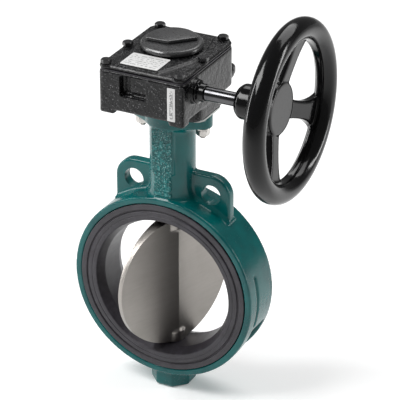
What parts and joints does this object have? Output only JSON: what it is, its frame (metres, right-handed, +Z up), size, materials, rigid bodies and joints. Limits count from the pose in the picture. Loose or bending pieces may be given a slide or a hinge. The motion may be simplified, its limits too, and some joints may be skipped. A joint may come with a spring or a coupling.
{
  "type": "butterfly valve",
  "caption": "Wafer butterfly valve with a rubber-lined ring body, a pivoting steel disc, a worm gearbox on its neck and a side handwheel.",
  "frame": {"origin": "centre of the flat bottom face of the lower boss, on the stem axis, which is also the face of the bottom plug", "axes": "+X along the handwheel shaft away from the gearbox, +Y along the pipe, +Z up the stem from the lower boss to the gearbox"},
  "size_m": [0.2739, 0.212, 0.47],
  "materials": {
    "teal_enamel": "glossy teal enamel on cast iron",
    "rubber": "moulded dark grey rubber with a faint violet cast",
    "stainless": "brushed and ground stainless steel",
    "black_enamel": "glossy black paint on rough castings",
    "bronze": "machined bronze",
    "steel": "bright machined steel",
    "black_steel": "blackened bolts",
    "pale_gasket": "pale fibre gasket",
    "label": "blank off-white plate"
  },
  "bodies": {
    "valve": {"bottom_plug": "steel", "cover_bolt_1": "black_steel", "cover_bolt_2": "black_steel", "cover_bolt_3": "black_steel", "cover_bolt_4": "black_steel", "cover_bolt_5": "black_steel", "cover_bolt_6": "black_steel", "flange_nut_left": "stainless", "flange_nut_right": "stainless", "flange_stud_left": "stainless", "flange_stud_right": "stainless", "flange_washer_left": "stainless", "flange_washer_right": "stainless", "gearbox_cover": "black_enamel", "gearbox_housing": "black_enamel", "housing_gasket": "rubber", "inner_worm_bush": "bronze", "lower_bush": "bronze", "nameplate": "label", "outer_worm_bush": "bronze", "plug_o_ring": "rubber", "seat_liner": "rubber", "shaft_seal": "rubber", "side_label": "label", "stop_nut_left": "black_steel", "stop_nut_right": "black_steel", "stop_screw_left": "black_steel", "stop_screw_right": "black_steel", "top_bush": "bronze", "top_flange_gasket": "pale_gasket", "upper_bush": "bronze", "upper_o_ring": "rubber", "valve_body": "teal_enamel", "wheel_bush": "bronze", "worm_end_cap": "black_enamel"},
    "stem": {"upper_stem": "stainless", "lower_stem": "stainless", "disc": "stainless", "worm_wheel": "bronze", "indicator_cap": "black_enamel", "indicator_pointer": "black_enamel"},
    "input": {"worm_shaft": "steel", "handwheel": "black_enamel", "handwheel_pin": "steel"}
  },
  "joints": [
    {"name": "handwheel_turn", "type": "hinge", "parent": "valve", "child": "input", "pos_m": [0.157, -0.046, 0.3745], "axis": [1, 0, 0], "range_deg": [-1632, 528]},
    {"name": "stem_turn", "type": "hinge", "parent": "valve", "child": "stem", "pos_m": [0, 0, 0.125], "axis": [0, 0, 1], "range_deg": [-68, 22]}
  ],
  "couplings": [
    {"joint": "stem_turn", "follows": "handwheel_turn", "ratio": 0.041667}
  ]
}
